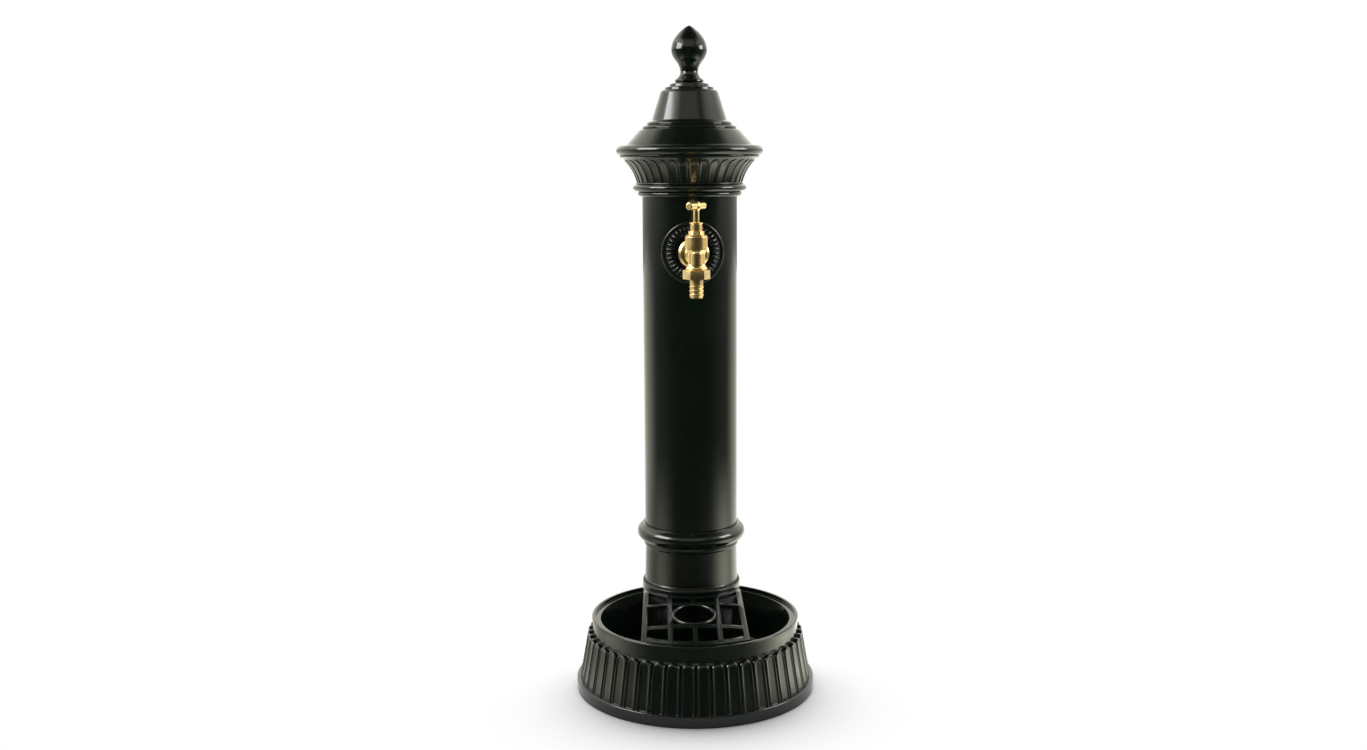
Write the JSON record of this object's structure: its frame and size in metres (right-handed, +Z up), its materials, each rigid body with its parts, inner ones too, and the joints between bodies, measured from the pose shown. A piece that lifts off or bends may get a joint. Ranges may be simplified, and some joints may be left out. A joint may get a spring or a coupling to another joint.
{
  "type": "garden water fountain",
  "caption": "Cast metal garden fountain: fluted round basin with a sloping grate, round column, leaved capital, stepped roof with finial, and a brass screw-down tap with hose union.",
  "frame": {"origin": "centre of the basin's foot ring, at the height of its underside and of the four anchor bosses", "axes": "+Z up, the tap points along -Y, the column's axis is parallel to +Z at y = 0.088 m"},
  "size_m": [0.4, 0.4103, 1.0995],
  "materials": {
    "green_paint": "satin gloss paint",
    "brass_polished": "polished",
    "brass_cast": "as cast",
    "zinc_steel": "zinc plated",
    "stainless": "brushed",
    "copper": "drawn copper tube",
    "rubber": "matte",
    "fibre": "vulcanised fibre"
  },
  "bodies": {
    "fountain": {"basin": "green_paint", "column_seal": "rubber", "column_base": "green_paint", "column_bolts": "zinc_steel", "column_shaft": "green_paint", "capital": "green_paint", "roof_cap": "green_paint", "finial": "green_paint", "tie_rod": "zinc_steel", "tie_strap": "zinc_steel", "tie_washer": "zinc_steel", "tie_nut": "zinc_steel", "medallion": "green_paint", "tap_flange": "brass_polished", "tap_body": "brass_polished", "bonnet_washer": "fibre", "tap_bonnet": "brass_polished", "gland_packing": "fibre", "gland_nut": "brass_polished", "shank_saddle": "zinc_steel", "shank_locknut": "brass_cast", "wall_elbow": "brass_cast", "elbow_nut": "brass_cast", "supply_pipe": "copper", "inlet_adapter": "brass_cast", "inlet_nut": "brass_cast", "pipe_bracket": "zinc_steel", "bracket_screw": "zinc_steel", "basin_waste": "brass_cast", "waste_strainer": "stainless", "waste_washer": "rubber", "waste_nut": "brass_cast"},
    "grate": {"grate": "green_paint"},
    "valve": {"jumper_valve": "brass_cast", "jumper_washer": "rubber", "jumper_nut": "brass_cast"},
    "spindle": {"tap_spindle": "brass_polished", "handle_bar": "brass_polished"},
    "hose_tail": {"hose_tail": "brass_cast", "union_washer": "rubber"},
    "union_nut": {"union_nut": "brass_cast"}
  },
  "joints": [
    {"name": "grate_lift", "type": "slide", "parent": "fountain", "child": "grate", "axis": [0, 0, 1], "range_m": [0, 0.06]},
    {"name": "valve_lift", "type": "slide", "parent": "fountain", "child": "valve", "axis": [0, 0, 1], "range_m": [0, 0.006]},
    {"name": "spindle_turn", "type": "hinge", "parent": "valve", "child": "spindle", "pos_m": [0, -0.062, 0.808], "axis": [0, 0, 1], "range_deg": [0, 720]},
    {"name": "union_drop", "type": "slide", "parent": "fountain", "child": "hose_tail", "axis": [0, 0, -1], "range_m": [0, 0.0058]},
    {"name": "union_turn", "type": "hinge", "parent": "hose_tail", "child": "union_nut", "pos_m": [0, -0.062, 0.7], "axis": [0, 0, -1], "range_deg": [0, 900]}
  ],
  "couplings": [
    {"joint": "spindle_turn", "follows": "valve_lift", "rad_per_m": 2094.4},
    {"joint": "union_turn", "follows": "union_drop", "rad_per_m": 2708.2}
  ]
}
